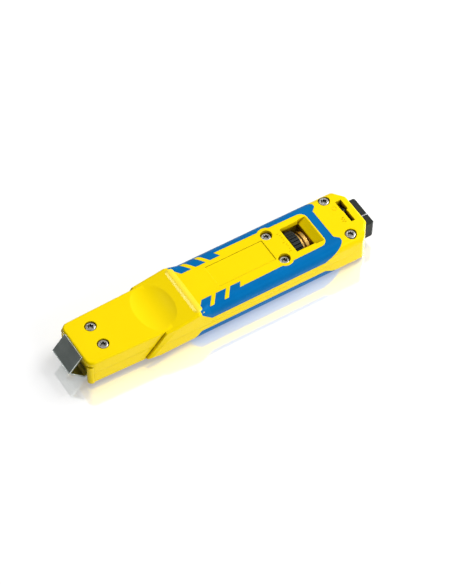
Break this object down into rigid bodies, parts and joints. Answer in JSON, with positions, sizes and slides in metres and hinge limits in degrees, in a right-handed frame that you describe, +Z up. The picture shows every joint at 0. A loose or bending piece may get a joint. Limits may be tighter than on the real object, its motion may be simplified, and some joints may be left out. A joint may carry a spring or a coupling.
{
  "type": "cable jacket stripping knife",
  "caption": "Hand tool that slits and rings the jacket of round cable: yellow handle with blue grips, sprung V hook, depth thumbwheel and selector lever.",
  "frame": {"origin": "middle of the bounding box in X and Y, at the height of the underside", "axes": "+X along the handle from hook to tail, +Y across the handle, +Z up through the thumbwheel's window"},
  "size_m": [0.1772, 0.0352, 0.0199],
  "materials": {
    "shell_plastic": "fine moulded satin",
    "grip_rubber": "soft-touch matte",
    "black_plastic": "satin",
    "spring_steel": "rolled",
    "blade_steel": "ground",
    "zinc_steel": "zinc plated",
    "brass": "turned"
  },
  "bodies": {
    "housing": {"top_shell": "shell_plastic", "bottom_shell": "shell_plastic", "top_grip": "grip_rubber", "bottom_grip": "grip_rubber", "front_screws": "zinc_steel", "middle_screws": "zinc_steel", "rear_screws": "zinc_steel", "nose_bush": "brass", "shaft_bushes": "brass", "sleeve_guide": "black_plastic", "spring_anchor": "zinc_steel", "hook_spring": "spring_steel", "detent_spring": "spring_steel", "tail_shoe": "black_plastic", "tail_plate": "blade_steel"},
    "hook": {"clamp_hook": "spring_steel", "thumb_pad": "black_plastic", "hook_slider": "black_plastic", "hook_rivets": "zinc_steel"},
    "wheel": {"thumbwheel": "black_plastic", "wheel_nut": "brass"},
    "depth_sleeve": {"threaded_sleeve": "zinc_steel", "sleeve_key": "zinc_steel"},
    "blade_unit": {"blade_shaft": "zinc_steel", "shaft_clips": "spring_steel", "blade_holder": "zinc_steel", "blade": "blade_steel", "blade_grub_screw": "zinc_steel"},
    "selector": {"selector_lever": "black_plastic"}
  },
  "joints": [
    {"name": "hook_slide", "type": "slide", "parent": "housing", "child": "hook", "axis": [-1, 0, 0], "range_m": [0, 0.014], "stiffness_N_per_m": 300, "deforming": ["hook_spring"]},
    {"name": "wheel_turn", "type": "hinge", "parent": "housing", "child": "wheel", "pos_m": [0.0476, 0, 0.00995], "axis": [1, 0, 0], "range_deg": [0, 1800]},
    {"name": "depth_travel", "type": "slide", "parent": "housing", "child": "depth_sleeve", "axis": [-1, 0, 0], "range_m": [0, 0.005]},
    {"name": "selector_turn", "type": "hinge", "parent": "housing", "child": "selector", "pos_m": [0.0785, 0, 0.00995], "axis": [1, 0, 0], "range_deg": [0, 45]},
    {"name": "blade_swivel", "type": "hinge", "parent": "depth_sleeve", "child": "blade_unit", "pos_m": [0, 0, 0.00995], "axis": [1, 0, 0], "range_deg": [0, 45]}
  ],
  "couplings": [
    {"joint": "wheel_turn", "follows": "depth_travel", "rad_per_m": 6283.2},
    {"joint": "blade_swivel", "follows": "selector_turn", "ratio": 1}
  ]
}
